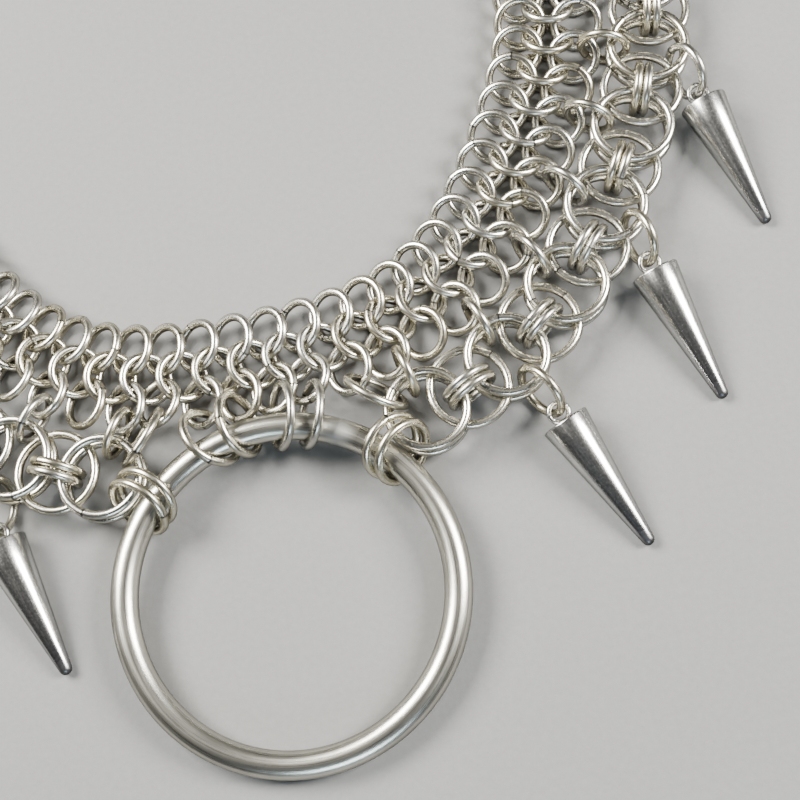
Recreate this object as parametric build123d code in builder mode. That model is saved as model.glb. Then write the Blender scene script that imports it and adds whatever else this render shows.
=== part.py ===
from build123d import *
from collections import namedtuple
from math import asin, cos, hypot, pi, radians, sin, sqrt
import os

# A chainmail collar lying flat as a closed loop, in millimetres, +Z up.
# The origin is the middle of the neck opening, on the surface that the collar lies on.
# The front, with the large ring, faces -Y, and the right side is the +X side.
# Places along the collar are counted in mail columns from the front, positive towards +X.

# Round wire and the inside sizes of the rings
wire = 1.6
small_inside = 6.8
flat_inside = 11.9
link_inside = 9.3
clearance = 0.12

# The mail band: its middle row's radius, the gentle waves of its lay, and its weave
neck_radius = 64.8
wave_depth = 1.2
wave_count = 6
row_spacing = 5.2
row_lean = 32.0
edge_thickness = 1.3

# The outer chain, the joining rings and the room left for the clasp behind the neck
first_pair = 3.5
double_room = 0.79
join_rise = 0.2
join_aside = 1.4
join_lean = 2.0
clasp_room = 20.0

# The large front ring
o_ring_inside = 50.8
o_ring_wire = 4.76
o_ring_share = 0.346

# The jump rings: their inside size, how far their middle lies from the flat rings that they
# hang on, and how far they lean
jump_inside = 7.8
jump_reach = 1.6
jump_lean = 14.0

# The spikes, the pair that the first one hangs on, counted from 0, and their soldered loops
spikes_a_side = 6
first_spike_pair = 1
spike_length = 25.0
spike_base = 8.4
spike_tip = 2.2
spike_rim = 0.3
loop_wire = 0.8
loop_outside = 4.2
loop_sink = 0.4

# The clasp
clasp_wire = 2.2
clasp_width = 8.8

# Each link ring of one side: what it holds, how far its middle lies along and beside the
# line between the two, and above the surface, in millimetres, and its turn and lean in degrees
Link = namedtuple("Link", "holds along beside lift turn lean")
link_rows = {
    "front_link_inner": Link("mail 0.5 and large ring", -0.12, 0.60, 0.07, 0.2, 26.0),
    "front_link_outer": Link("mail 1.5 and large ring", 0.58, -0.04, 0.0, -8.6, 37.4),
    "corner_link": Link("mail 2.5 and first pair", 0.66, 0.17, 0.0, -8.8, -23.7),
    "end_link_inner": Link("large ring and first pair", -0.12, 1.10, 0.26, -0.4, 32.7),
    "end_link_outer": Link("large ring and first pair", 0.07, -1.08, 0.0, 0.4, 28.2),
}

# Each spike: its side and its number from the front, where on the flat rings its jump ring
# hangs and how that ring runs, both in degrees from straight out towards the front, and
# where the spike points, in degrees from straight ahead towards +X
Spike = namedtuple("Spike", "side number hangs runs points")
spike_rows = [
    Spike("right", 1, 0, 0, 22.8),
    Spike("right", 2, 18, 40, 15.4),
    Spike("right", 3, 30, 56, 13.9),
    Spike("right", 4, 6, 12, 45),
    Spike("right", 5, 6, 12, 75),
    Spike("right", 6, 6, 12, 105),
    Spike("left", 1, 6, 16, 18.2),
    Spike("left", 2, 6, 12, -12),
    Spike("left", 3, 6, 12, -32),
    Spike("left", 4, 6, 12, -56),
    Spike("left", 5, 6, 12, -80),
    Spike("left", 6, 6, 12, -106),
]

# Sizes that follow from those above
small = (small_inside + wire) / 2
flat = (flat_inside + wire) / 2
link = (link_inside + wire) / 2
jump = (jump_inside + wire) / 2
o_ring_radius = (o_ring_inside + o_ring_wire) / 2
small_bore = small_inside / 2
stack = wire + clearance
play = clearance * 3 / 4
mail_height = small * sin(radians(row_lean)) + wire / 2
chain_height = small + wire / 2
band_edge = row_spacing + small

# The gap between the mail's edge and the outer chain is what a joining ring can span
join_height = chain_height + join_rise
span_over_mail = sqrt(small_bore**2 - (join_height - mail_height + edge_thickness / 2) ** 2)
span_over_pair = sqrt(small_bore**2 - (join_rise + stack + wire / 2) ** 2)
join_offset = band_edge - wire / 2 + span_over_mail - play
chain_offset = band_edge + span_over_mail + span_over_pair - wire - play + flat

# The angle of one mail column, set by the flat rings held edge to edge in the doubles
double_reach = sqrt((small_bore - wire / 2 - clearance) ** 2 - stack**2)
column = (flat + double_room * double_reach) / (neck_radius + chain_offset)
pitch = column * neck_radius
half_wire = wire / 2 / pitch
pair_count = int((pi / column - clasp_room / 2 / pitch - first_pair - 0.5) / 2)
last_crossing = int(first_pair + 2 * pair_count - 0.5)
end_column = last_crossing + small / pitch

# The large ring lies with its front on the surface and its back on the link rings
o_ring_front = o_ring_wire / 2
o_ring_back = 2 * wire + o_ring_wire / 2
o_ring_tilt = asin((o_ring_back - o_ring_front) / (2 * o_ring_radius))
o_ring_offset = neck_radius - wave_depth + band_edge + o_ring_share * link_inside + o_ring_radius
o_ring_centre = Vector(0, -o_ring_offset, (o_ring_back + o_ring_front) / 2)

sides = {"right": 1, "left": -1}
up = Vector(0, 0, 1)


def outward(place):
    """Unit vector away from the neck's middle, at a place counted in columns."""
    return Vector(sin(place * column), -cos(place * column), 0)


def onward(place):
    """Unit vector round the neck, towards higher columns."""
    return Vector(cos(place * column), sin(place * column), 0)


def path_radius(place):
    return neck_radius - wave_depth * cos(wave_count * place * column)


def path_onward(place):
    """Unit tangent of the wavy middle line of the mail."""
    swell = wave_count * wave_depth * sin(wave_count * place * column)
    return (onward(place) * path_radius(place) + outward(place) * swell).normalized()


def band_point(place, offset):
    """A point beside the middle line of the mail, square to it, positive away from the neck."""
    ahead = path_onward(place)
    return outward(place) * path_radius(place) + Vector(ahead.Y, -ahead.X, 0) * offset


def chain_point(place, height):
    """A point on the middle line of the outer chain."""
    return outward(place) * (path_radius(place) + chain_offset) + up * height


def pair_place(side, number):
    """The column of a pair of flat rings, counted from 0 at the front of its side."""
    return side * (first_pair + 2 * number)


def standing(centre, direction, lean=0):
    """Plane of an upright ring that runs along a level direction, leaned sideways."""
    sideways = up.cross(direction)
    rise = up * cos(radians(lean)) + sideways * sin(radians(lean))
    return Plane(origin=centre, x_dir=direction, z_dir=direction.cross(rise))


def write(piece, name):
    piece.part.label = name
    export_step(piece.part, f"parts/{name}.step")


def ring_node(name, planes, radius, thickness):
    """One node of equal rings, each on its own plane."""
    with BuildPart() as rings:
        with Locations(*planes):
            Torus(radius, thickness / 2)
    write(rings, name)


os.makedirs("parts", exist_ok=True)

# The large front ring, its back raised on the rings that hold it
o_ring_rise = Vector(0, cos(o_ring_tilt), sin(o_ring_tilt))
o_ring_plane = Plane(origin=o_ring_centre, x_dir=(1, 0, 0), z_dir=Vector(1, 0, 0).cross(o_ring_rise))
ring_node("o_ring", [o_ring_plane], o_ring_radius, o_ring_wire)


# The mail band: a pierced strip with a thick middle row, open at the back
def strip(half_width, end):
    """Corners of a strip of the mail, from one end column round the front to the other."""
    whole = int(end)
    places = [-end] + list(range(-whole, whole + 1)) + [end]
    outer = [band_point(place, half_width) for place in places]
    inner = [band_point(place, -half_width) for place in reversed(places)]
    return outer + inner


def opening(start, stop, near, far):
    """Corners of one opening in the strip, between two places and two offsets."""
    corners = [(start, near), (start, far), (stop, far), (stop, near)]
    return [band_point(place, offset) for place, offset in corners]


crossings = list(range(-last_crossing, last_crossing + 1))
spans = list(zip(crossings, crossings[1:]))
spans += [(-end_column, crossings[0]), (crossings[-1], end_column)]
middle_half = row_spacing / 2
middle_end = last_crossing - small_bore / pitch
eye_half = middle_half - wire / 2

openings = []
for side in sides.values():
    near, far = side * middle_half, side * (band_edge - wire / 2)
    for start, stop in spans:
        openings.append(opening(start + half_wire, stop - half_wire, near, far))
    eye_start, eye_stop = side * middle_end, side * (end_column - half_wire)
    openings.append(opening(eye_start, eye_stop, -eye_half, eye_half))

with BuildPart() as mail_band:
    with BuildSketch(Plane.XY.offset(mail_height - edge_thickness / 2)):
        with BuildLine():
            Polyline(*strip(band_edge + wire / 2, end_column + half_wire), close=True)
        make_face()
        for corners in openings:
            with BuildLine():
                Polyline(*corners, close=True)
            make_face(mode=Mode.SUBTRACT)
    extrude(amount=edge_thickness)
    with BuildSketch():
        with BuildLine():
            Polyline(*strip(middle_half, middle_end), close=True)
        make_face()
    extrude(amount=2 * mail_height)
write(mail_band, "mail_band")

# The outer chain: pairs of flat rings tied by doubles, with a flat ring floating round each tie
for side_name, side in sides.items():
    flat_planes = []
    double_planes = []
    for number in range(pair_count):
        pair = pair_place(side, number)
        for layer in (-stack, stack):
            flat_planes.append(Plane(origin=chain_point(pair, chain_height + layer)))
        if number < pair_count - 1:
            tie = pair + side
            centre = chain_point(tie, chain_height)
            flat_planes.append(Plane(origin=centre))
            for apart in (-stack / 2, stack / 2):
                double_planes.append(standing(centre + outward(tie) * apart, onward(tie)))
    with BuildPart() as outer_chain:
        with Locations(*flat_planes):
            Torus(flat, wire / 2)
        with Locations(*double_planes):
            Torus(small, wire / 2)
    write(outer_chain, f"outer_chain_{side_name}")


# The joining rings: one from the mail's outer row to each pair of flat rings
def joining_plane(place):
    mail_end = band_point(place, join_offset - small) + path_onward(place) * join_aside
    chain_end = outward(place) * (path_radius(place) + join_offset + small)
    centre = (mail_end + chain_end) / 2 + up * join_height
    return standing(centre, (chain_end - mail_end).normalized(), join_lean)


for side_name, side in sides.items():
    joining = [joining_plane(pair_place(side, number)) for number in range(pair_count)]
    ring_node(f"joining_rings_{side_name}", joining, small, wire)


# The link rings that tie the large ring and the first pairs to the mail and to each other
def toward(start, end):
    """Level unit vector from one point to another."""
    return Vector(end.X - start.X, end.Y - start.Y, 0).normalized()


def link_ends(holds, side):
    """The two held wires' middles, seen from above, for one link ring."""
    pair = chain_point(pair_place(side, 0), 0)
    large = Vector(0, -o_ring_offset, 0)
    words = holds.split()
    if words[0] == "mail":
        start = band_point(side * float(words[1]), band_edge)
    else:
        start = large + toward(large, pair) * o_ring_radius
    if holds.endswith("pair"):
        return start, pair + toward(pair, start) * flat
    return start, large + toward(large, start) * o_ring_radius


def link_plane(row, side):
    start, end = link_ends(row.holds, side)
    line = toward(start, end)
    rest = link * cos(radians(row.lean)) + wire / 2 + row.lift
    centre = (start + end) / 2 + line * row.along
    centre += up.cross(line) * side * row.beside + up * rest
    return standing(centre, line.rotate(Axis.Z, side * row.turn), side * row.lean)


for name, row in link_rows.items():
    for side_name, side in sides.items():
        ring_node(f"{name}_{side_name}", [link_plane(row, side)], link, wire)

# The spikes: solid cones with a soldered loop, lying on their sides, each on a jump ring
base_radius = spike_base / 2
tip_radius = spike_tip / 2
cone_length = spike_length - tip_radius
loop_radius = (loop_outside - loop_wire) / 2
loop_reach = loop_outside / 2 - loop_sink
slope = asin((base_radius - tip_radius) / cone_length)
base_height = base_radius * cos(slope)
loop_height = base_height + loop_reach * sin(slope)
jump_height = jump * cos(radians(jump_lean)) + wire / 2
loop_drop = (jump_height - loop_height) / cos(radians(jump_lean))
ring_reach = sqrt(jump**2 - loop_drop**2)


def bearing(place, side, angle):
    """Level unit vector, turned from straight out towards the front."""
    return outward(place) * cos(radians(angle)) - onward(place) * side * sin(radians(angle))


for row in spike_rows:
    side = sides[row.side]
    pairs_before = int((row.number - 1) * (pair_count - first_spike_pair) / spikes_a_side)
    place = pair_place(side, first_spike_pair + pairs_before)
    run = bearing(place, side, row.runs)
    jump_centre = chain_point(place, jump_height) + bearing(place, side, row.hangs) * flat
    jump_plane = standing(jump_centre + run * jump_reach, run, side * jump_lean)
    aim = Vector(sin(radians(row.points)), -cos(radians(row.points)), 0)
    across = up.cross(aim)
    axis = aim * cos(slope) - up * sin(slope)
    loop_centre = jump_plane.origin + run * ring_reach - jump_plane.y_dir * loop_drop
    loop_plane = Plane(origin=loop_centre, x_dir=across, z_dir=across.cross(axis))
    cone_plane = Plane(origin=loop_centre + axis * loop_reach, x_dir=across, z_dir=axis)
    with BuildPart() as spike:
        with Locations(cone_plane):
            Cone(base_radius, tip_radius, cone_length, align=(Align.CENTER, Align.CENTER, Align.MIN))
        fillet(spike.edges().filter_by(GeomType.CIRCLE).sort_by(SortBy.RADIUS)[-1], spike_rim)
        with Locations(cone_plane.offset(cone_length)):
            Sphere(tip_radius)
        with Locations(loop_plane):
            Torus(loop_radius, loop_wire / 2)
    write(spike, f"spike_{row.side}_{row.number}")
    ring_node(f"spike_ring_{row.side}_{row.number}", [jump_plane], jump, wire)

# The clasp: a plain oval link between two jump rings, each through the end eye of the mail
drop = chain_height - mail_height
bar_reach = sqrt((small_bore - hypot(wire, edge_thickness) / 2 - clearance) ** 2 - drop**2)
clasp_reach = sqrt((small_bore - clasp_wire / 2 - clearance) ** 2 - drop**2)
clasp_radius = (clasp_width - clasp_wire) / 2
end_bar = band_point(end_column, 0)
clasp_half = end_bar.X - bar_reach - clasp_reach
clasp_straight = clasp_half - clasp_radius

for side_name, side in sides.items():
    centre = Vector(side * (end_bar.X - bar_reach), end_bar.Y, chain_height)
    ring_node(f"clasp_ring_{side_name}", [standing(centre, Vector(1, 0, 0))], small, wire)

with BuildPart() as clasp:
    with BuildLine(Plane(origin=(0, end_bar.Y, mail_height))) as oval:
        Line((-clasp_straight, -clasp_radius), (clasp_straight, -clasp_radius))
        ThreePointArc(
            (clasp_straight, -clasp_radius), (clasp_half, 0), (clasp_straight, clasp_radius)
        )
        Line((clasp_straight, clasp_radius), (-clasp_straight, clasp_radius))
        ThreePointArc(
            (-clasp_straight, clasp_radius), (-clasp_half, 0), (-clasp_straight, -clasp_radius)
        )
    section = Plane(origin=oval.line @ 0, z_dir=oval.line % 0)
    with BuildSketch(section):
        Circle(clasp_wire / 2)
    sweep(path=oval.wires()[0])
write(clasp, "clasp")
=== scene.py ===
import bmesh
import bpy
import random
from collections import namedtuple
from math import asin, atan2, cos, hypot, pi, radians, sin, sqrt, tau
from mathutils import Matrix, Vector


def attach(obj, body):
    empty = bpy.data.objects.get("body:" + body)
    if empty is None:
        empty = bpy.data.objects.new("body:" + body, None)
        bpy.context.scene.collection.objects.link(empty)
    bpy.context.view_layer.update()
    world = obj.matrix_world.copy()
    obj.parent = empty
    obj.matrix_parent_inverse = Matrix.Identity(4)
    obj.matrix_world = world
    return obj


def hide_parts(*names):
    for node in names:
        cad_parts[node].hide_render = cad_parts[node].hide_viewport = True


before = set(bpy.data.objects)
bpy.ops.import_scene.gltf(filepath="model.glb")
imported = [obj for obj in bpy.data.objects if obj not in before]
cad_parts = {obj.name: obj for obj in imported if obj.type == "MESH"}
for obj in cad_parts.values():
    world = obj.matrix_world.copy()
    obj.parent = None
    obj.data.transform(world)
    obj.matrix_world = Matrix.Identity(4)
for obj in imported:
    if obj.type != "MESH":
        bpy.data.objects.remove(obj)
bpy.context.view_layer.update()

# Sizes in millimetres, in the part's own frame: +Z up, the front towards -Y.
# Places along the collar are counted in mail columns from the front, positive towards +X.
MM = 0.001

# Round wire and the inside sizes of the rings
wire = 1.6
small_inside = 6.8
flat_inside = 11.9
link_inside = 9.3
clearance = 0.12

# The mail band: its middle row's radius, the gentle waves of its lay, and its weave
neck_radius = 64.8
wave_depth = 1.2
wave_count = 6
row_spacing = 5.2
edge_lean = 32.0
middle_lean = -28.0
edge_thickness = 1.3

# The outer chain, the joining rings and the room left for the clasp behind the neck
first_pair = 3.5
double_room = 0.79
join_rise = 0.2
join_aside = 1.4
join_lean = 2.0
clasp_room = 20.0

# The large front ring
o_ring_inside = 50.8
o_ring_wire = 4.76
o_ring_share = 0.346

# The jump rings: their inside size, how far their middle lies from the flat rings that they
# hang on, and how far they lean
jump_inside = 7.8
jump_reach = 1.6
jump_lean = 14.0

# The spikes, the pair that the first one hangs on, counted from 0, and their soldered loops
spikes_a_side = 6
first_spike_pair = 1
spike_length = 25.0
spike_base = 8.4
spike_tip = 2.2
spike_rim = 0.3
loop_wire = 0.8
loop_outside = 4.2
loop_sink = 0.4
solder_width = 2.4
solder_height = 0.35

# The cut in each ring's wire, where its two ends meet
joint_gap = 0.10

# Each link ring of one side: what it holds, how far its middle lies along and beside the
# line between the two, and above the surface, and its turn and lean in degrees
Link = namedtuple("Link", "holds along beside lift turn lean")
link_rows = {
    "front_link_inner": Link("mail 0.5 and large ring", -0.12, 0.60, 0.07, 0.2, 26.0),
    "front_link_outer": Link("mail 1.5 and large ring", 0.58, -0.04, 0.0, -8.6, 37.4),
    "corner_link": Link("mail 2.5 and first pair", 0.66, 0.17, 0.0, -8.8, -23.7),
    "end_link_inner": Link("large ring and first pair", -0.12, 1.10, 0.26, -0.4, 32.7),
    "end_link_outer": Link("large ring and first pair", 0.07, -1.08, 0.0, 0.4, 28.2),
}

# The two of these that the real rings of the mail hold a little otherwise than its strip does
eased_links = {
    "front_link_outer_right": Link("mail 1.5 and large ring", 0.42, -0.40, 0.05, 4.9, 24.8),
    "corner_link_left": Link("mail 2.5 and first pair", 0.47, 0.56, 0.0, -18.4, -23.7),
}

# The rings of the mail's outer row that those links push aside: by place, how far forward
# along the row, out, up, and their lean and twist in degrees
Eased = namedtuple("Eased", "forward out rise lean twist")
eased_mail = {
    0.5: Eased(-0.22, 0.0, 0.29, 26.1, -7.1),
    1.5: Eased(-0.71, -0.13, 0.72, 28.8, -13.7),
    -0.5: Eased(0.16, 0.0, 0.06, 31.8, 0.0),
    -2.5: Eased(-0.99, -0.42, 0.78, 27.1, -14.1),
}

# Each spike: its side and its number from the front, where on the flat rings its jump ring
# hangs and how that ring runs, both in degrees from straight out towards the front, and
# where the spike points, in degrees from straight ahead towards +X
Spike = namedtuple("Spike", "side number hangs runs points")
spike_rows = [
    Spike("right", 1, 0, 0, 22.8),
    Spike("right", 2, 18, 40, 15.4),
    Spike("right", 3, 30, 56, 13.9),
    Spike("right", 4, 6, 12, 45),
    Spike("right", 5, 6, 12, 75),
    Spike("right", 6, 6, 12, 105),
    Spike("left", 1, 6, 16, 18.2),
    Spike("left", 2, 6, 12, -12),
    Spike("left", 3, 6, 12, -32),
    Spike("left", 4, 6, 12, -56),
    Spike("left", 5, 6, 12, -80),
    Spike("left", 6, 6, 12, -106),
]

# Sizes that follow from those above
small = (small_inside + wire) / 2
flat = (flat_inside + wire) / 2
link = (link_inside + wire) / 2
jump = (jump_inside + wire) / 2
o_ring_radius = (o_ring_inside + o_ring_wire) / 2
small_bore = small_inside / 2
stack = wire + clearance
play = clearance * 3 / 4
mail_height = small * sin(radians(edge_lean)) + wire / 2
chain_height = small + wire / 2
band_edge = row_spacing + small

join_height = chain_height + join_rise
span_over_mail = sqrt(small_bore**2 - (join_height - mail_height + edge_thickness / 2) ** 2)
span_over_pair = sqrt(small_bore**2 - (join_rise + stack + wire / 2) ** 2)
join_offset = band_edge - wire / 2 + span_over_mail - play
chain_offset = band_edge + span_over_mail + span_over_pair - wire - play + flat

double_reach = sqrt((small_bore - wire / 2 - clearance) ** 2 - stack**2)
column = (flat + double_room * double_reach) / (neck_radius + chain_offset)
pitch = column * neck_radius
pair_count = int((pi / column - clasp_room / 2 / pitch - first_pair - 0.5) / 2)
last_crossing = int(first_pair + 2 * pair_count - 0.5)
end_column = last_crossing + small / pitch

o_ring_front = o_ring_wire / 2
o_ring_back = 2 * wire + o_ring_wire / 2
o_ring_tilt = asin((o_ring_back - o_ring_front) / (2 * o_ring_radius))
o_ring_offset = neck_radius - wave_depth + band_edge + o_ring_share * link_inside + o_ring_radius
o_ring_centre = Vector((0, -o_ring_offset, (o_ring_back + o_ring_front) / 2))

sides = {"right": 1, "left": -1}
up = Vector((0, 0, 1))
seed = 12
chance = random.Random(seed)


# The lay of the collar, as in the part's source
def outward(place):
    """Unit vector away from the neck's middle, at a place counted in columns."""
    return Vector((sin(place * column), -cos(place * column), 0))


def onward(place):
    """Unit vector round the neck, towards higher columns."""
    return Vector((cos(place * column), sin(place * column), 0))


def path_radius(place):
    """How far the wavy middle line of the mail lies from the neck's middle."""
    return neck_radius - wave_depth * cos(wave_count * place * column)


def path_onward(place):
    """Unit tangent of the wavy middle line of the mail."""
    swell = wave_count * wave_depth * sin(wave_count * place * column)
    return (onward(place) * path_radius(place) + outward(place) * swell).normalized()


def path_square(place):
    """Unit vector square to the middle line of the mail, away from the neck."""
    ahead = path_onward(place)
    return Vector((ahead.y, -ahead.x, 0))


def band_point(place, offset):
    """A point on the surface, square off the middle line of the mail."""
    return outward(place) * path_radius(place) + path_square(place) * offset


def chain_point(place, height):
    """A point on the middle line of the outer chain."""
    return outward(place) * (path_radius(place) + chain_offset) + up * height


def pair_place(side, number):
    """The column of a pair of flat rings, counted from 0 at the front of its side."""
    return side * (first_pair + 2 * number)


def bearing(place, side, angle):
    """Level unit vector, turned from straight out towards the front."""
    return outward(place) * cos(radians(angle)) - onward(place) * side * sin(radians(angle))


def plane(centre, across, along):
    """The matrix that takes a shape's own X, Y and Z to two directions and their normal."""
    turned = Matrix((across, along, across.cross(along))).transposed().to_4x4()
    return Matrix.Translation(centre) @ turned


def standing(centre, direction, lean=0):
    """Plane of an upright ring that runs along a level direction, leaned sideways."""
    sideways = up.cross(direction)
    return plane(centre, direction, up * cos(radians(lean)) + sideways * sin(radians(lean)))


def lying(centre):
    """Plane of a level ring."""
    return plane(centre, Vector((1, 0, 0)), Vector((0, 1, 0)))


def mail_plane(place, row):
    """Plane of one mail ring; row is -1 for the inner row, 0 for the middle, 1 for the outer."""
    lay = Eased(0, 0, 0, edge_lean if row else middle_lean, 0)
    if row == 1:
        lay = eased_mail.get(place, lay)
    ahead = path_onward(place)
    square = path_square(place)
    centre = band_point(place, row * row_spacing) + up * (mail_height + lay.rise)
    centre += ahead * lay.forward + square * lay.out
    across = ahead * cos(radians(lay.lean)) + up * sin(radians(lay.lean))
    twist = radians(lay.twist)
    return plane(centre, across, square * cos(twist) + across.cross(square) * sin(twist))


def joining_plane(place):
    """Plane of the ring that joins the mail's outer row to one pair of flat rings."""
    mail_end = band_point(place, join_offset - small) + path_onward(place) * join_aside
    chain_end = outward(place) * (path_radius(place) + join_offset + small)
    centre = (mail_end + chain_end) / 2 + up * join_height
    return standing(centre, (chain_end - mail_end).normalized(), join_lean)


def toward(start, end):
    """Level unit vector from one point to another."""
    return Vector((end.x - start.x, end.y - start.y, 0)).normalized()


def link_ends(holds, side):
    """The two held wires' middles, seen from above, for one link ring."""
    pair = chain_point(pair_place(side, 0), 0)
    large = Vector((0, -o_ring_offset, 0))
    words = holds.split()
    if words[0] == "mail":
        start = band_point(side * float(words[1]), band_edge)
    else:
        start = large + toward(large, pair) * o_ring_radius
    if holds.endswith("pair"):
        return start, pair + toward(pair, start) * flat
    return start, large + toward(large, start) * o_ring_radius


def link_plane(row, side):
    """Plane of one link ring, which rests on the surface or a little above it."""
    start, end = link_ends(row.holds, side)
    line = toward(start, end)
    rest = link * cos(radians(row.lean)) + wire / 2 + row.lift
    centre = (start + end) / 2 + line * row.along
    centre += up.cross(line) * side * row.beside + up * rest
    turned = Matrix.Rotation(radians(side * row.turn), 3, "Z") @ line
    return standing(centre, turned, side * row.lean)


# Materials
class Signal:
    """A shader socket. Arithmetic on it adds Math nodes, and node adds any other."""

    def __init__(self, tree, socket=None):
        self.tree = tree
        self.socket = socket

    def node(self, kind, settings, sockets, output=0):
        """A new node with these settings and input sockets, as the signal of one output."""
        made = self.tree.nodes.new(kind)
        for name, value in settings.items():
            setattr(made, name, value)
        for name, value in sockets.items():
            if isinstance(value, Signal):
                self.tree.links.new(value.socket, made.inputs[name])
            else:
                made.inputs[name].default_value = value
        return Signal(self.tree, made.outputs[output])

    def maths(self, operation, left, right):
        return self.node("ShaderNodeMath", {"operation": operation}, {0: left, 1: right})

    def __add__(self, other):
        return self.maths("ADD", self, other)

    def __sub__(self, other):
        return self.maths("SUBTRACT", self, other)

    def __mul__(self, other):
        return self.maths("MULTIPLY", self, other)

    def __radd__(self, other):
        return self.maths("ADD", other, self)

    def __rsub__(self, other):
        return self.maths("SUBTRACT", other, self)

    def __abs__(self):
        return self.maths("ABSOLUTE", self, 0)

    def clamped(self, start, stop):
        """0 below start, 1 above stop."""
        sockets = {"Value": self, "From Min": start, "From Max": stop}
        return self.node("ShaderNodeMapRange", {"clamp": True}, sockets)

    def mix(self, first, second):
        """From one colour to another as this goes from 0 to 1."""
        sockets = {0: self, 6: first, 7: second}
        return self.node("ShaderNodeMix", {"data_type": "RGBA"}, sockets, 2)


def new_material(name):
    material = bpy.data.materials.new(name)
    material.use_nodes = True
    material.node_tree.nodes.clear()
    return material, Signal(material.node_tree)


def finished(material, tree, colour, roughness, relief, constants):
    """The material with its surface: colour, roughness, relief and the sockets that don't vary."""
    bump_sockets = {"Strength": relief.strength, "Distance": relief.depth * MM}
    bump_sockets["Height"] = relief.height
    bump = tree.node("ShaderNodeBump", {}, bump_sockets)
    sockets = {"Base Color": colour, "Roughness": roughness, "Normal": bump} | constants
    surface = tree.node("ShaderNodeBsdfPrincipled", {}, sockets)
    output = tree.tree.nodes.new("ShaderNodeOutputMaterial")
    tree.tree.links.new(surface.socket, output.inputs["Surface"])
    return material


def coordinates(tree, kind):
    return tree.node("ShaderNodeTexCoord", {}, {}, kind)


def part_of(tree, vector, axis):
    return tree.node("ShaderNodeSeparateXYZ", {}, {"Vector": vector}, axis)


def noise(tree, vector, pattern):
    """Noise drawn out by its own number of cells along each of the three coordinates."""
    placed = tree.node("ShaderNodeMapping", {}, {"Vector": vector, "Scale": pattern.cells})
    sockets = {"Vector": placed, "Scale": 1.0, "Detail": pattern.detail}
    return tree.node("ShaderNodeTexNoise", {}, sockets)


def drawn_wire(name, polish, joint_width):
    """Drawn steel wire: streaks along it, soft stains, and a dark cut at its joint.

    Painted shade darkens the wire's flanks and the ring's inside, more where the stains are.
    """
    material, tree = new_material(name)
    uv = coordinates(tree, "UV")
    place = coordinates(tree, "Object")
    tone = tree.node("ShaderNodeAttribute", {"attribute_name": "tone"}, {}, "Fac")
    along = part_of(tree, uv, "X")
    around = part_of(tree, uv, "Y")
    streaks = noise(tree, uv, wire_streaks)
    stains = noise(tree, place, wire_stains)
    scuffs = noise(tree, place, wire_scuffs).clamped(0.60, 0.72)
    # The dark band at each cut: the cut's burr, and a painted shadow in its gap
    joint = (along * (1 - along)).clamped(0.0, joint_width)
    # A painted warm reflection, more of it at random on some rings and where the stains are
    warm_reflection = (stains * 0.8 + tone * 0.7 - 0.35).clamped(0.15, 0.95)
    from_top = abs(abs(around) - quarter_turn)
    # Painted shade: darker towards the wire's flanks and on the ring's inside, uneven with the
    # stains
    flank = from_top.clamped(0.08, 0.28) * (0.55 + stains * 0.3)
    inside = (around * around).clamped(0.10, 0.30) * (0.1 + stains * 0.4)
    painted_shade = (flank + inside).clamped(0.0, 1.15)
    metal = painted_shade.mix(warm_reflection.mix(silver, straw_reflection), painted_shade_colour)
    colour = joint.mix(cut_shade, metal)
    roughness = polish + streaks * 0.14 + stains * 0.05 + scuffs * 0.08 + painted_shade * 0.10
    height = streaks * 0.7 + stains * 0.15 - scuffs * 0.1
    relief = Relief(height, strength=0.07, depth=0.04)
    return finished(material, tree, colour, roughness, relief, bare_metal)


def satin_steel(name, polish, weld_width):
    """The welded large ring: satin, with long soft streaks round it and a dull weld."""
    material, tree = new_material(name)
    uv = coordinates(tree, "UV")
    place = coordinates(tree, "Object")
    along = part_of(tree, uv, "X")
    streaks = noise(tree, uv, satin_streaks)
    hairlines = noise(tree, uv, satin_hairlines)
    stains = noise(tree, place, satin_stains)
    sound = (along * (1 - along)).clamped(0.0, weld_width)
    shade = (streaks * 0.5 + stains * 0.5).clamped(0.30, 0.70)
    colour = sound.mix(weld_grey, shade.mix(satin_dark, satin_light))
    roughness = polish - sound * 0.25 + streaks * 0.14 + hairlines * 0.10
    height = streaks * 0.5 + hairlines * 0.4 - sound * 0.3
    relief = Relief(height, strength=0.30, depth=0.06)
    return finished(material, tree, colour, roughness, relief, bare_metal)


def plated_spike(name, polish):
    """Polished plate over the cone: fine lengthwise lines, and a dark worn tip."""
    material, tree = new_material(name)
    uv = coordinates(tree, "UV")
    place = coordinates(tree, "Object")
    along = part_of(tree, uv, "Y")
    lines = noise(tree, uv, spike_lines)
    grain = noise(tree, place, spike_grain)
    stains = noise(tree, place, plate_stains)
    worn = (along + stains * 0.05).clamped(0.90, 1.02)
    fading = (along + stains * 0.15).clamped(0.35, 1.05)
    shade = (lines * 0.5 + stains * 0.6).clamped(0.35, 0.80)
    plate = fading.mix(shade.mix(plate_dark, plate_light), plate_faded)
    colour = worn.mix(plate, worn_tip)
    roughness = polish + lines * 0.10 + grain * 0.14 + worn * 0.20
    height = lines * 0.4 + grain * 0.5
    relief = Relief(height, strength=0.25, depth=0.03)
    return finished(material, tree, colour, roughness, relief, bare_metal)


def plain_clasp(name, polish):
    """The clasp's link: plain satin steel with faint cloudy handling marks."""
    material, tree = new_material(name)
    place = coordinates(tree, "Object")
    grain = noise(tree, place, clasp_grain)
    stains = noise(tree, place, plate_stains)
    colour = stains.clamped(0.3, 0.7).mix(clasp_dark, clasp_light)
    roughness = polish + grain * 0.14 + stains * 0.08
    relief = Relief(grain, strength=0.25, depth=0.04)
    return finished(material, tree, colour, roughness, relief, bare_metal)


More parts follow.
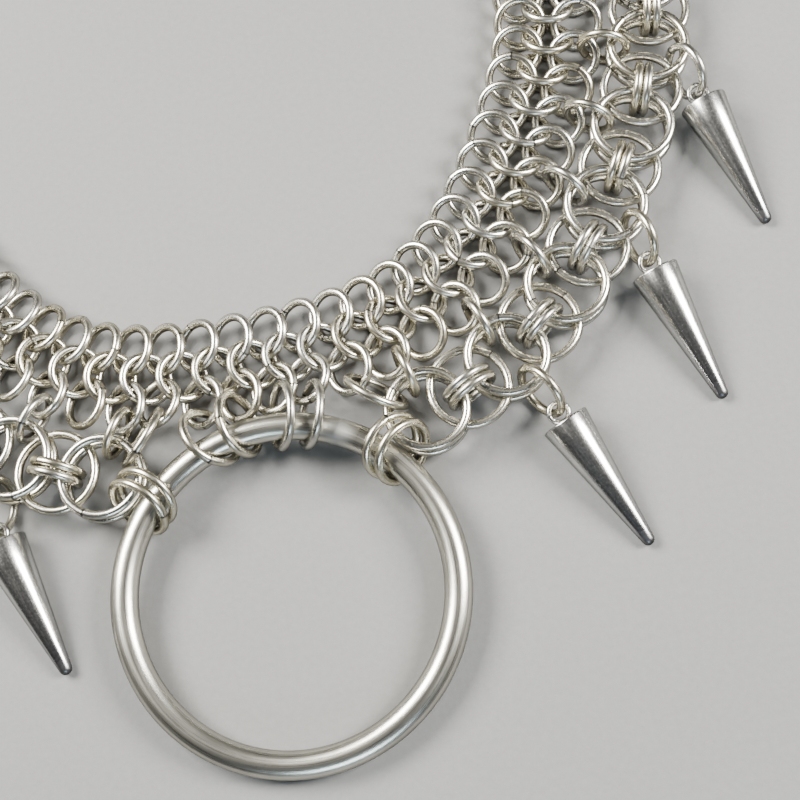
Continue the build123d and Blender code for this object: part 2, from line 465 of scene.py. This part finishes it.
def pale_surface(name, roughness):
    """The plain surface that the collar lies on."""
    material, tree = new_material(name)
    place = coordinates(tree, "Object")
    fibres = noise(tree, place, surface_fibres)
    clouds = noise(tree, place, surface_clouds)
    colour = (fibres * 0.5 + clouds * 0.5).mix(surface_dark, surface_light)
    relief = Relief(fibres, strength=0.25, depth=0.2)
    return finished(material, tree, colour, roughness, relief, {})


# A surface's fine relief: the signal that gives its height, how strongly it shows, and its depth
Relief = namedtuple("Relief", "height strength depth")

# The colours. Metals darken towards their edges, where they would mirror the pale surface.
silver = (0.66, 0.645, 0.59, 1)
# The colour of the painted warm reflection on the wires
straw_reflection = (0.64, 0.59, 0.45, 1)
# The colour of the painted shade on the wires' flanks and the rings' insides
painted_shade_colour = (0.09, 0.082, 0.065, 1)
# The colour of each cut: its burr, and a painted shadow in the gap
cut_shade = (0.05, 0.045, 0.04, 1)
weld_grey = (0.34, 0.34, 0.33, 1)
satin_dark = (0.34, 0.33, 0.30, 1)
satin_light = (0.62, 0.60, 0.53, 1)
plate_dark = (0.46, 0.46, 0.455, 1)
plate_light = (0.66, 0.65, 0.63, 1)
plate_faded = (0.27, 0.27, 0.28, 1)
worn_tip = (0.06, 0.06, 0.06, 1)
clasp_dark = (0.50, 0.50, 0.48, 1)
clasp_light = (0.62, 0.61, 0.58, 1)
surface_dark = (0.12, 0.12, 0.119, 1)
surface_light = (0.18, 0.18, 0.178, 1)
steel_edge = (0.40, 0.40, 0.38, 1)
bare_metal = {"Metallic": 1.0, "Specular Tint": steel_edge}

# The patterns: their cells along a wire and round it, or to the metre each way, and their
# detail. A wire's top is a quarter of the way round from the ring's outside.
Pattern = namedtuple("Pattern", "cells detail")
wire_streaks = Pattern((5, 22, 1), 3.0)
wire_stains = Pattern((420, 420, 420), 4.0)
wire_scuffs = Pattern((1900, 1900, 1900), 2.0)
satin_streaks = Pattern((9, 46, 1), 5.0)
satin_hairlines = Pattern((26, 240, 1), 2.0)
satin_stains = Pattern((150, 150, 150), 4.0)
spike_lines = Pattern((60, 2.5, 1), 4.0)
spike_grain = Pattern((2600, 2600, 2600), 2.0)
plate_stains = Pattern((260, 260, 260), 3.0)
clasp_grain = Pattern((300, 2200, 2200), 3.0)
surface_fibres = Pattern((900, 900, 900), 4.0)
surface_clouds = Pattern((6, 6, 6), 2.0)
quarter_turn = 0.25

# Polish is the roughness of the bare metal, and joint and weld widths are shares of the wire
mail_metal = drawn_wire("mail wire", polish=0.17, joint_width=0.010)
chain_metal = drawn_wire("chain wire", polish=0.16, joint_width=0.006)
tie_metal = drawn_wire("tie wire", polish=0.16, joint_width=0.010)
large_metal = satin_steel("satin ring", polish=0.42, weld_width=0.018)
spike_metal = plated_spike("spike plate", polish=0.12)
clasp_metal = plain_clasp("clasp steel", polish=0.24)


# Shapes
def mesh_of(bm, name):
    """The mesh of a bmesh, which is freed."""
    mesh = bpy.data.meshes.new(name)
    bm.to_mesh(mesh)
    bm.free()
    return mesh


def in_scene(name, data):
    """An object in the scene, of a mesh, lamp or camera."""
    made = bpy.data.objects.new(name, data)
    bpy.context.scene.collection.objects.link(made)
    return made


def drawn_in(corners):
    """How far one level of subdivision draws in a polygon of that many corners, on average."""
    corner = (3 + cos(tau / corners)) / 4
    middle = cos(pi / corners)
    return (corner + middle) / 2


def wire_ring(radius, thickness, sides_round, sides_wire, gap):
    """A mesh in its own XY plane: a ring of round wire, cut once at +X where gap isn't 0.

    The sizes allow for what one level of subdivision draws in. Its UV runs once along the
    wire from the joint, and once round the wire.
    """
    ring_scale = 1 / drawn_in(sides_round)
    wire_scale = 1 / drawn_in(sides_wire)
    bm = bmesh.new()
    section = Matrix.Translation((radius * ring_scale, 0, 0)) @ Matrix.Rotation(pi / 2, 4, "X")
    bmesh.ops.create_circle(
        bm, cap_ends=False, segments=sides_wire, radius=thickness / 2 * wire_scale, matrix=section
    )
    cut = gap / radius
    bmesh.ops.rotate(bm, cent=(0, 0, 0), matrix=Matrix.Rotation(cut / 2, 3, "Z"), verts=bm.verts)
    bmesh.ops.spin(
        bm, geom=bm.verts[:] + bm.edges[:], cent=(0, 0, 0), axis=(0, 0, 1),
        angle=tau - cut, steps=sides_round, use_merge=gap == 0,
    )
    crease = bm.edges.layers.float.new("crease_edge")
    ends = [edge for edge in bm.edges if edge.is_boundary]
    for edge in ends:
        edge[crease] = 1
        edge.smooth = False
    end_points = {point for edge in ends for point in edge.verts}
    inward = Matrix.Diagonal((1 / ring_scale, 1 / ring_scale, 1))
    bmesh.ops.transform(bm, matrix=inward, verts=list(end_points))
    for face in bm.faces:
        face.smooth = True
    if ends:
        bmesh.ops.holes_fill(bm, edges=ends, sides=0)
    bmesh.ops.recalc_face_normals(bm, faces=bm.faces)
    uv = bm.loops.layers.uv.new("wire")
    for face in bm.faces:
        middle = face.calc_center_median()
        turn = atan2(middle.y, middle.x) % tau
        tilt = atan2(middle.z, hypot(middle.x, middle.y) - radius)
        for corner in face.loops:
            point = corner.vert.co
            around = near_angle(atan2(point.y, point.x), turn)
            lift = near_angle(atan2(point.z, hypot(point.x, point.y) - radius), tilt)
            corner[uv].uv = (around / tau, lift / tau)
    bm.verts.layers.float.new("tone")
    return mesh_of(bm, "ring shape")


def near_angle(angle, middle):
    """The same angle, counted so that it lies within half a turn of the middle one."""
    return angle + tau * round((middle - angle) / tau)


def gather(shape, planes):
    """One bmesh of a shape repeated on planes."""
    bm = bmesh.new()
    add_shapes(bm, shape, planes)
    return bm


def add_shapes(bm, shape, planes):
    """Adds a shape on each plane, turned and toned by chance."""
    for where in planes:
        start = len(bm.verts)
        bm.from_mesh(shape)
        bm.verts.ensure_lookup_table()
        points = bm.verts[start:]
        turn = Matrix.Rotation(chance.uniform(0, tau), 4, "Z")
        bmesh.ops.transform(bm, matrix=where @ turn, verts=points)
        tone = bm.verts.layers.float["tone"]
        shade = chance.random()
        for point in points:
            point[tone] = shade


def add_piece(name, bm, material, node, rounding=1):
    """A finished piece from a bmesh in millimetres, standing for one node of the part."""
    bmesh.ops.scale(bm, vec=(MM, MM, MM), verts=bm.verts)
    mesh = mesh_of(bm, name)
    mesh.materials.append(material)
    piece = in_scene(name, mesh)
    if rounding:
        smooth = piece.modifiers.new("rounding", "SUBSURF")
        smooth.levels = smooth.render_levels = rounding
    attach(piece, "root")
    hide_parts(node)


# The meshed rings' sides: round each ring, and round its wire
ring_sides = 16
flat_sides = 20
large_sides = 48
loop_sides = 14
wire_sides = 6
large_wire_sides = 12

small_ring = wire_ring(small, wire, ring_sides, wire_sides, joint_gap)
flat_ring = wire_ring(flat, wire, flat_sides, wire_sides, joint_gap)
link_ring = wire_ring(link, wire, ring_sides, wire_sides, joint_gap)
jump_ring = wire_ring(jump, wire, ring_sides, wire_sides, joint_gap)
closed_ring = wire_ring(o_ring_radius, o_ring_wire, large_sides, large_wire_sides, 0)
loop_ring = wire_ring((loop_outside - loop_wire) / 2, loop_wire, loop_sides, wire_sides, 0)

# The mail: three rows of small rings, each ring of the middle row through four of the others
mail_planes = []
for number in range(-last_crossing, last_crossing + 1):
    mail_planes.append(mail_plane(number, 0))
    if number < last_crossing:
        mail_planes.append(mail_plane(number + 0.5, -1))
        mail_planes.append(mail_plane(number + 0.5, 1))
add_piece("mail_rings", gather(small_ring, mail_planes), mail_metal, "mail_band")

# The outer chain and the rings that join it to the mail
for side_name, side in sides.items():
    flats = []
    doubles = []
    joins = []
    for number in range(pair_count):
        pair = pair_place(side, number)
        joins.append(joining_plane(pair))
        for layer in (-stack, stack):
            flats.append(lying(chain_point(pair, chain_height + layer)))
        if number < pair_count - 1:
            tie = pair + side
            centre = chain_point(tie, chain_height)
            flats.append(lying(centre))
            for apart in (-stack / 2, stack / 2):
                doubles.append(standing(centre + outward(tie) * apart, onward(tie)))
    chain = gather(flat_ring, flats)
    add_shapes(chain, small_ring, doubles)
    node = f"outer_chain_{side_name}"
    add_piece(f"{node}_rings", chain, chain_metal, node)
    node = f"joining_rings_{side_name}"
    add_piece(f"{node}_wire", gather(small_ring, joins), tie_metal, node)
    for name, row in link_rows.items():
        node = f"{name}_{side_name}"
        bm = gather(link_ring, [link_plane(eased_links.get(node, row), side)])
        add_piece(f"{node}_wire", bm, tie_metal, node)

# The large ring, its back raised on the rings that hold it, and its weld turned from +X
weld_angle = 62
o_ring_rise = Vector((0, cos(o_ring_tilt), sin(o_ring_tilt)))
large = bmesh.new()
large.from_mesh(closed_ring)
weld_turn = Matrix.Rotation(radians(weld_angle), 4, "Z")
where = plane(o_ring_centre, Vector((1, 0, 0)), o_ring_rise) @ weld_turn
bmesh.ops.transform(large, matrix=where, verts=large.verts)
add_piece("large_ring", large, large_metal, "o_ring")

# The spikes: their cones lie on the surface, and their loops hang in the jump rings
base_radius = spike_base / 2
tip_radius = spike_tip / 2
cone_length = spike_length - tip_radius
loop_reach = loop_outside / 2 - loop_sink
slope = asin((base_radius - tip_radius) / cone_length)
base_height = base_radius * cos(slope)
loop_height = base_height + loop_reach * sin(slope)
jump_height = jump * cos(radians(jump_lean)) + wire / 2
loop_drop = (jump_height - loop_height) / cos(radians(jump_lean))
ring_reach = sqrt(jump**2 - loop_drop**2)


def spike_shape():
    """A mesh along its own +Z: the cone with its blunt tip, and a mound of solder at its base."""
    steps_round = 40
    rim_steps = 3
    tip_steps = 5
    cone_shares = (0.2, 0.5, 0.8, 1.0)
    solder_steps_round = 16
    solder_steps_high = 8
    seam = 0.001
    pole_reach = 0.01
    profile = [(0, 0), (base_radius - spike_rim, 0)]
    for step in range(1, rim_steps + 1):
        angle = pi / 2 * step / rim_steps
        profile.append((base_radius - spike_rim * (1 - sin(angle)), spike_rim * (1 - cos(angle))))
    for share in cone_shares:
        profile.append((base_radius + (tip_radius - base_radius) * share, cone_length * share))
    for step in range(1, tip_steps + 1):
        angle = pi / 2 * step / tip_steps
        profile.append((tip_radius * cos(angle), cone_length + tip_radius * sin(angle)))
    bm = bmesh.new()
    points = [bm.verts.new((radius, 0, height)) for radius, height in profile]
    edges = [bm.edges.new(pair) for pair in zip(points, points[1:])]
    bmesh.ops.spin(
        bm, geom=points + edges, cent=(0, 0, 0), axis=(0, 0, 1),
        angle=tau, steps=steps_round, use_merge=True,
    )
    bmesh.ops.remove_doubles(bm, verts=bm.verts, dist=seam)
    uv = bm.loops.layers.uv.new("wire")
    bm.verts.layers.float.new("tone")
    for face in bm.faces:
        middle = face.calc_center_median()
        turn = atan2(middle.y, middle.x)
        for corner in face.loops:
            point = corner.vert.co
            pole = hypot(point.x, point.y) < pole_reach
            around = turn if pole else near_angle(atan2(point.y, point.x), turn)
            corner[uv].uv = (around / tau, point.z / spike_length)
    mound = Matrix.Diagonal((solder_width / 2, solder_width / 2, solder_height, 1))
    bmesh.ops.create_uvsphere(
        bm, u_segments=solder_steps_round, v_segments=solder_steps_high, radius=1, matrix=mound
    )
    bmesh.ops.recalc_face_normals(bm, faces=bm.faces)
    for face in bm.faces:
        face.smooth = True
    return mesh_of(bm, "spike shape")


spike_mesh = spike_shape()
for row in spike_rows:
    side = sides[row.side]
    pairs_before = int((row.number - 1) * (pair_count - first_spike_pair) / spikes_a_side)
    place = pair_place(side, first_spike_pair + pairs_before)
    run = bearing(place, side, row.runs)
    jump_centre = chain_point(place, jump_height) + bearing(place, side, row.hangs) * flat
    jump_centre += run * jump_reach
    jump_plane = standing(jump_centre, run, side * jump_lean)
    aim = Vector((sin(radians(row.points)), -cos(radians(row.points)), 0))
    across = up.cross(aim)
    axis = aim * cos(slope) - up * sin(slope)
    loop_centre = jump_plane @ Vector((ring_reach, -loop_drop, 0))
    bm = bmesh.new()
    bm.from_mesh(spike_mesh)
    cone_plane = plane(loop_centre + axis * loop_reach, across, axis.cross(across))
    bmesh.ops.transform(bm, matrix=cone_plane, verts=bm.verts)
    add_shapes(bm, loop_ring, [plane(loop_centre, across, axis)])
    suffix = f"{row.side}_{row.number}"
    add_piece(f"spike_{suffix}_cone", bm, spike_metal, f"spike_{suffix}", 0)
    node = f"spike_ring_{suffix}"
    bm = gather(jump_ring, [jump_plane])
    add_piece(f"{node}_wire", bm, tie_metal, node)

# The clasp: its plain link stays as modelled in the part, between two jump rings
drop = chain_height - mail_height
bar_reach = sqrt((small_bore - hypot(wire, edge_thickness) / 2 - clearance) ** 2 - drop**2)
end_bar = band_point(end_column, 0)
for side_name, side in sides.items():
    centre = Vector((side * (end_bar.x - bar_reach), end_bar.y, chain_height))
    node = f"clasp_ring_{side_name}"
    bm = gather(small_ring, [standing(centre, Vector((1, 0, 0)))])
    add_piece(f"{node}_wire", bm, tie_metal, node)
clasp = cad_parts["clasp"]
clasp.data.materials.clear()
clasp.data.materials.append(clasp_metal)

# The surface
floor_width = 4000.0
bm = bmesh.new()
bmesh.ops.create_grid(bm, x_segments=1, y_segments=1, size=floor_width / 2 * MM)
floor_mesh = mesh_of(bm, "surface")
floor_mesh.materials.append(pale_surface("pale surface", roughness=0.85))
floor = in_scene("surface", floor_mesh)

# Soft lights in a grey room: each lamp's place, width and height, its power in watts and its
# colour. All are aimed at the front of the collar.
Lamp = namedtuple("Lamp", "name place width height power colour")
collar_front = Vector((0, -60, 0))
lamps = [
    Lamp("upper left", Vector((-350, 190, 430)), 360, 280, 19, (1.0, 0.98, 0.92)),
    Lamp("upper right", Vector((500, -50, 400)), 220, 300, 15, (1.0, 0.98, 0.93)),
    Lamp("front", Vector((40, -620, 260)), 300, 120, 2, (0.70, 0.86, 1.0)),
]
room_colour = (0.43, 0.43, 0.43, 1)
room_strength = 0.12

for row in lamps:
    lamp = bpy.data.lights.new(row.name, "AREA")
    lamp.shape = "RECTANGLE"
    lamp.size = row.width * MM
    lamp.size_y = row.height * MM
    lamp.energy = row.power
    lamp.color = row.colour
    light = in_scene(row.name, lamp)
    light.location = row.place * MM
    light.rotation_euler = (collar_front - row.place).to_track_quat("-Z", "Y").to_euler()

world = bpy.data.worlds.new("grey room")
bpy.context.scene.world = world
world.use_nodes = True
room = world.node_tree.nodes["Background"]
room.inputs["Color"].default_value = room_colour
room.inputs["Strength"].default_value = room_strength

# The camera, above the front of the collar, a little to its right
camera_place = Vector((27.5, -136.9, 211.0))
camera_aim = Vector((23.9, -74.5, 0))
image_up = Vector((0.191, 0.9815, 0))
lens = 56.8
sensor_width = 36
nearest_seen = 5

ahead = (camera_aim - camera_place).normalized()
right = ahead.cross(image_up).normalized()
eye = bpy.data.cameras.new("camera")
eye.lens = lens
eye.sensor_width = sensor_width
eye.clip_start = nearest_seen * MM
camera = in_scene("camera", eye)
camera.matrix_world = plane(camera_place * MM, right, right.cross(ahead))
bpy.context.scene.camera = camera

# The single shapes are no longer needed once the pieces are gathered from them
for spare in (small_ring, flat_ring, link_ring, jump_ring, closed_ring, loop_ring, spike_mesh):
    bpy.data.meshes.remove(spare)
